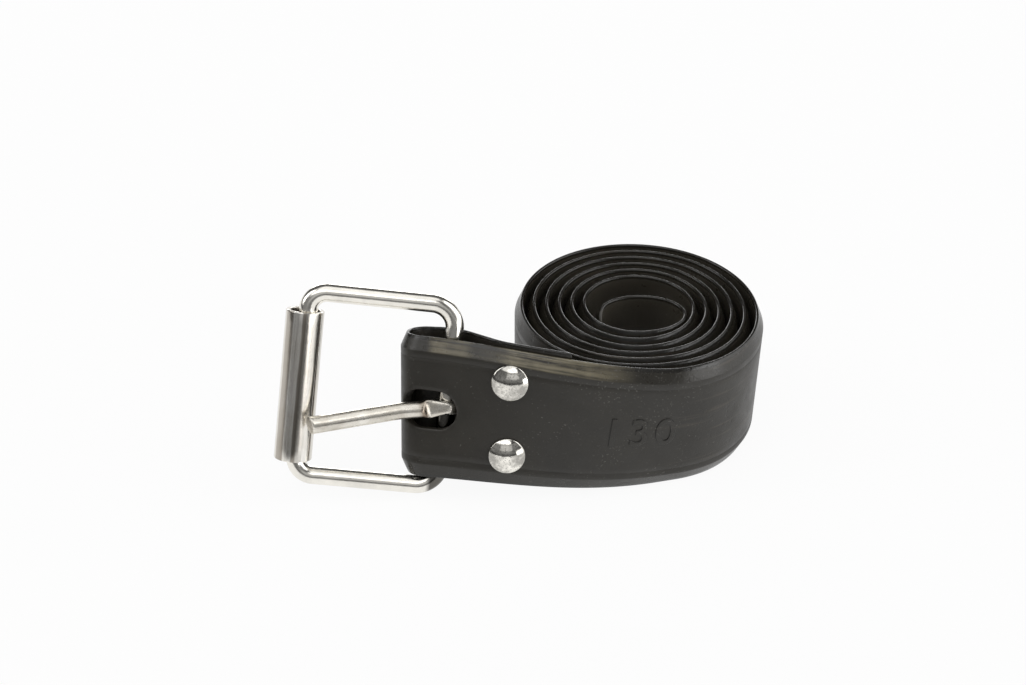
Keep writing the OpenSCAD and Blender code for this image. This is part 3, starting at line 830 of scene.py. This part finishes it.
def rolled_tube():
    outer, inner, half = roller_diameter / 2, roller_diameter / 2 - roller_wall, roller_length / 2
    places = np.array([(inner, -half), (outer, -half), (outer, half), (inner, half)])
    section, dense = [], []
    for i in range(4):
        section += arc_corner(places[i - 1], places[i], places[(i + 1) % 4], sheet_rounding, 4)
    for i, p in enumerate(section):
        following = section[(i + 1) % len(section)]
        parts = max(1, round(np.linalg.norm(following - p) / 4))
        dense += [p + (following - p) * k / parts for k in range(parts)]
    middle = (outer + inner) / 2
    gap = math.degrees(seam_width / 2 / outer)
    # The sheet thins to its two long edges, as (degrees from the edge, share of its thickness)
    lip = [(0.0, 0.62), (0.4, 0.82), (1.0, 0.95), (2.0, 1.0)]
    stations = [(gap + a, share) for a, share in lip]
    stations += [(a, 1.0) for a in np.linspace(gap + 4.5, 360 - gap - 4.5, 92)]
    stations += [(360 - gap - a, share) for a, share in reversed(lip)]
    vertices, sheet = [], []
    # The seam faces the side given by its angle, counted from the strap's side towards the front
    for a, share in stations:
        c, s = turned(180 - seam_angle - a)
        for r, y in dense:
            radius = middle + (r - middle) * share
            vertices.append(buckle_place(roller_x + radius * c, roller_drop + y, radius * s - roller_push))
            sheet.append((y * mm, math.radians(a) * outer * mm, radius * mm))
    piece = mesh_object("seam_roller", vertices, skinned(len(stations), len(dense)))
    mark_points(piece, "flat", sheet)
    return piece


def rolled_finish():
    """Rolled sheet: brushed lines run along the tube, with painted reflections as bright and brown bands round
    it.
    """
    f = Finish("rolled_sheet_steel")
    flat = f.node("ShaderNodeAttribute", attribute_name="flat").outputs["Vector"]
    lines = f.noise(flat, 2200, 4, 0.7, (0.03, 1, 1))
    broad = f.noise(flat, 420, 3, 0.6, (0.05, 1, 1))
    shade = f.ramp(f.noise(flat, 70, 4, 0.6), (0.3, (0.80, 0.76, 0.69)), (0.7, (0.97, 0.95, 0.90)))
    # Bright and brown bands along the tube, counted round it from the seam, are painted reflections
    round_it = f.node("ShaderNodeSeparateXYZ", {0: flat}).outputs[1]
    round_it = f.times(round_it, 1 / (math.pi * roller_diameter * mm))
    round_it = f.math("ADD", round_it, f.times(f.math("SUBTRACT", broad, 0.5), 0.03))
    brown = f.ramp(round_it, (0.0, 0.75), (0.02, 0.35), (0.03, 0.08), (0.08, 0.10), (0.09, 0.36), (0.138, 0.42),
                   (0.145, 0.78), (0.170, 0.74), (0.180, 0.0), (0.250, 0.0), (0.262, 0.72), (0.33, 0.60),
                   (0.345, 0.15), (0.6, 0.45), (1.0, 0.3))
    shade = f.mix(brown, shade, (0.20, 0.165, 0.125))
    shade = f.mix(f.times(f.ramp(lines, (0.5, 0.0), (0.75, 1.0)), 0.4), shade, (0.26, 0.23, 0.19))
    roughness = f.ramp(broad, (0.3, 0.13), (0.7, 0.27))
    f.set(Base_Color=shade, Roughness=roughness, Metallic=1.0, Normal=f.bump(lines, 0.00004, 0.5))
    return f.material


roller = rolled_tube()
roller.data.materials.append(rolled_finish())
smoothed(roller, 50)
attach(roller, "roller")
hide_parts("roller")

# ---------------------------------------------------------------------------------------------
# The tongue. A steel wire whose end is beaten flat and curled round the rear bar; its shaft comes
# out through the slot, slants down and rests on the roller.
# ---------------------------------------------------------------------------------------------
tongue_wire, tongue_tip, eye_thickness, eye_width, shoulder = 5.9, 6.2, 2.4, 5.4, 7.5
tongue_drop, tongue_slant, shaft_slope, shaft_length = 2.8, 14.0, 4.841, 41.889
tip_cut, tip_chamfer, beaten_down, stain_place = 0.42, 0.5, 0.9, 31.2
curl_angle, beaten_end, beaten_share, wedge_share = 292, shoulder - 1.9, 0.78, 1.26
eye_middle = wire_diameter / 2 + 0.1 + eye_thickness / 2


def tongue_sections():
    """Sections as (middle, along, half width, half thickness, squareness, slant), in the buckle's axes."""
    rows = []
    # The curl round the rear bar, thinner towards its end
    for a in np.linspace(curl_angle, 0, 60):
        c, s = turned(a)
        share = ease((curl_angle - a) / curl_angle)
        width = eye_width / 2 * (0.35 + (beaten_share - 0.35) * share)
        thick = eye_thickness / 2 * (0.62 + 0.38 * share)
        rows.append(((-eye_middle * s, tongue_drop, eye_middle * c), (c, 0, s), width, thick, 4.0, 0))
    # The beaten part, which widens like a wedge to the shoulder
    for share in np.linspace(0.6 / beaten_end, 1, 10):
        place = (share * beaten_end, tongue_drop + beaten_down * share, eye_middle)
        width = eye_width / 2 * (beaten_share + (wedge_share - beaten_share) * share)
        rows.append((place, (1, 0, 0), width, eye_thickness / 2, 4.0, 0))
    # The round shaft, which slants down to its tip
    slope_cos, slope_sin = turned(shaft_slope)
    slant_cos, slant_sin = turned(tongue_slant)
    along = np.array([slope_cos * slant_cos, slope_cos * slant_sin, slope_sin])
    root = np.array([shoulder - 1, tongue_drop, eye_middle])
    total = shaft_length + 1 - tip_cut * tongue_tip / 2
    for d in np.r_[np.linspace(0, 4, 12), np.linspace(4.8, total - tip_chamfer, 56)]:
        share, slanted = ease(d / 2.2), ease((d - total + 8) / 8)
        wire = tongue_wire + (tongue_tip - tongue_wire) * d / total
        width = eye_width / 2 * wedge_share * (1 - share) + wire / 2 * share
        thick = (eye_thickness / 2 + 0.3) * (1 - share) + wire / 2 * share
        lower = np.array([0, beaten_down * (1 - ease(d / 11)), 0])
        rows.append((root + lower + along * d, along, width, thick, 4.0 - 2.0 * share, slanted))
    # The tip's chamfer and its end
    for k in range(1, 7):
        c, s = turned(15 * k)
        half = tongue_tip / 2 - tip_chamfer * (1 - c)
        rows.append((root + along * (total - tip_chamfer * (1 - s)), along, half, half, 2.0, 1))
    rows.append((root + along * total, along, 0.9, 0.9, 2.0, 1))
    return rows


def swept_tongue():
    count, vertices, sheet, gone, before = 40, [], [], 0.0, None
    rows = tongue_sections()
    for middle, along, width, thick, square, slanted in rows:
        middle, along = np.array(middle, float), np.array(along, float)
        side = unit(np.array([0, 1.0, 0]) - along[1] * along)
        normal = np.cross(along, side)
        if before is not None:
            gone += np.linalg.norm(middle - before)
        before = middle
        for k in range(count):
            c, s = turned(360 * k / count)
            r = (abs(c) ** square + abs(s) ** square) ** (-1 / square)
            place = middle + width * r * c * side + thick * r * s * normal
            vertices.append(buckle_place(*(place - tip_cut * slanted * thick * r * s * along)))
            sheet.append((gone * mm, 2.5 * r * c * mm, 2.5 * r * s * mm))
    piece = mesh_object("wire_tongue", vertices, skinned(len(rows), count))
    mark_points(piece, "flat", sheet)
    return piece


def tongue_finish():
    """Beaten wire: long scratches, a brown stain where the flat part begins."""
    f = Finish("beaten_tongue_steel")
    flat = f.node("ShaderNodeAttribute", attribute_name="flat").outputs["Vector"]
    gone = f.node("ShaderNodeSeparateXYZ", {0: flat}).outputs[0]
    scratch = f.noise(flat, 1400, 4, 0.7, (0.12, 1, 1))
    cloud = f.noise(flat, 160, 4, 0.6)
    shade = f.ramp(cloud, (0.3, (0.60, 0.56, 0.49)), (0.7, (0.88, 0.85, 0.78)))
    shade = f.mix(f.times(f.ramp(scratch, (0.55, 0.0), (0.8, 1.0)), 0.45), shade, (0.25, 0.22, 0.18))
    # A brown stain rings the wire where the hammer stopped
    from_stain = f.math("ABSOLUTE", f.math("SUBTRACT", gone, stain_place * mm))
    stain = f.times(f.rise(from_stain, 0.0022, 0.0006), f.ramp(cloud, (0.35, 0.5), (0.6, 0.95)))
    shade = f.mix(stain, shade, (0.16, 0.10, 0.055))
    roughness = f.ramp(scratch, (0.3, 0.18), (0.75, 0.38))
    f.set(Base_Color=shade, Roughness=roughness, Metallic=1.0,
          Normal=f.bump(scratch, 0.00005, 0.6, f.bump(cloud, 0.00012, 0.4)))
    return f.material


tongue = swept_tongue()
tongue.data.materials.append(tongue_finish())
smoothed(tongue, 55)
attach(tongue, "tongue")
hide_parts("tongue")

# ---------------------------------------------------------------------------------------------
# The floor, the camera and the light. A plain pale board lies under the belt, and a small white
# studio lights it: a broad soft panel high in front, a ceiling, panels at both sides, a low one
# behind, and black cloth between them. The camera itself sees plain white all round.
# ---------------------------------------------------------------------------------------------
floor = mesh_object("floor", [(-6, -6, 0), (6, -6, 0), (6, 6, 0), (-6, 6, 0)], [(0, 1, 2, 3)])
ground = Finish("floor")
ground.set(Base_Color=(0.90, 0.90, 0.90, 1), Roughness=0.7)
# Seen by the camera or mirrored in the steel, the floor is white with a faint shadow; it lights as pale board
white = ground.node("ShaderNodeEmission", {0: (1, 1, 1, 1)})
looks = ground.node("ShaderNodeLightPath").outputs
looking = ground.math("MAXIMUM", looks["Is Camera Ray"],
                      ground.math("MAXIMUM", looks["Is Glossy Ray"], looks["Is Transmission Ray"]))
shares = {0: ground.times(looking, 0.93), 1: ground.shader.outputs[0], 2: white.outputs[0]}
shown = ground.node("ShaderNodeMixShader", shares).outputs[0]
ground.give(ground.tree.nodes["Material Output"].inputs[0], shown)
floor.data.materials.append(ground.material)

camera = bpy.data.objects.new("camera", bpy.data.cameras.new("camera"))
bpy.context.scene.collection.objects.link(camera)
camera.data.lens = 47.39
camera.data.sensor_width = 36
camera.location = coil_axis + Vector((-0.0452, -0.4178, 0.3209))
camera.rotation_euler = (math.radians(55.4), 0, 0)
camera.data.clip_start, camera.data.clip_end = 0.01, 50
bpy.context.scene.camera = camera

world = bpy.data.worlds.new("world")
bpy.context.scene.world = world
world.use_nodes = True
sky = Nodes(world.node_tree)
direction = sky.node("ShaderNodeTexCoord").outputs["Generated"]
ways = sky.node("ShaderNodeSeparateXYZ", {0: direction}).outputs
bearing = sky.math("ARCTAN2", ways[0], sky.times(ways[1], -1.0))
height = sky.math("ARCSINE", ways[2])
soft_edge = math.radians(2.5)


def past(value, start, full):
    """0 before the start, 1 past the full place, and softly between."""
    ends = {0: value, 1: start, 2: full}
    return sky.node("ShaderNodeMapRange", ends, interpolation_type="SMOOTHSTEP").outputs[0]


def panel(middle, half, low, high, level):
    """A bright patch of the room: bearing from the front, half width, lowest and highest angle, level."""
    middle, half, low, high = (math.radians(angle) for angle in (middle, half, low, high))
    away = sky.math("ABSOLUTE", sky.math("WRAP", sky.math("SUBTRACT", bearing, middle), math.pi, -math.pi))
    inside = past(away, half + soft_edge, half - soft_edge)
    above = past(height, low - soft_edge, low + soft_edge)
    below = past(height, high + soft_edge, high - soft_edge)
    return sky.times(sky.times(inside, level), sky.times(above, below))


room = 0.10
for patch in (panel(-20, 44, 44, 66, 1.7), panel(0, 180, 66, 95, 1.0), panel(90, 27, -8, 58, 1.9),
              panel(50, 13, -5, 14, 4.0), panel(-92, 15, 14, 60, 2.5), panel(180, 28, -8, 15, 4.5),
              panel(0, 24, 20, 40, 0.3), panel(0, 66, 8, 42, 0.12)):
    room = sky.math("ADD", patch, room)
rays = sky.node("ShaderNodeLightPath").outputs
seen = sky.math("MAXIMUM", rays["Is Camera Ray"], rays["Is Transmission Ray"])
background = sky.tree.nodes["Background"].inputs
background["Color"].default_value = (1, 1, 1, 1)
sky.give(background["Strength"], sky.node("ShaderNodeMix", {0: seen, 2: room, 3: 1.0}).outputs[0])

bpy.context.scene.view_settings.view_transform = "Standard"
